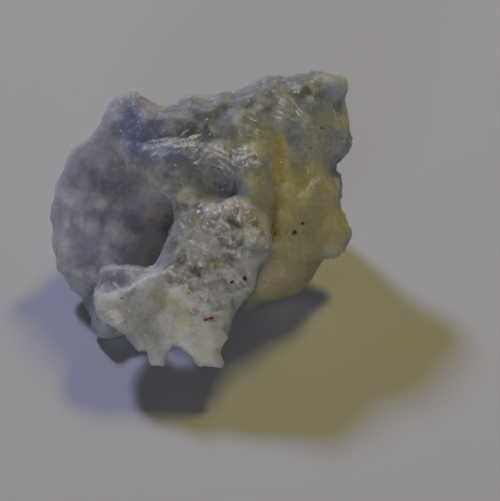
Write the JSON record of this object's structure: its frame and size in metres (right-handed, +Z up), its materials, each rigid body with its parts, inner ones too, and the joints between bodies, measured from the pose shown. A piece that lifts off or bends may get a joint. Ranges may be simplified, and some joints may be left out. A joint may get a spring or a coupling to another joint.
{
  "type": "rough chalcedony",
  "caption": "Rough piece of translucent grey chalcedony with a hollow, a pit and a thin toothed plate; a natural mineral specimen that rests on its own base.",
  "frame": {"origin": "middle of the stone's box, at the height of the flat spot that it rests on", "axes": "+Z up, -Y towards the side with the toothed plate, +X to the stained right flank, along the longest side"},
  "size_m": [0.0266, 0.025, 0.017],
  "materials": {
    "chalcedony": "waxy to glassy broken surface, translucent grey with violet and yellow-olive zones and an orange iron stain"
  },
  "bodies": {
    "root": {"chalcedony": "chalcedony"}
  },
  "joints": []
}
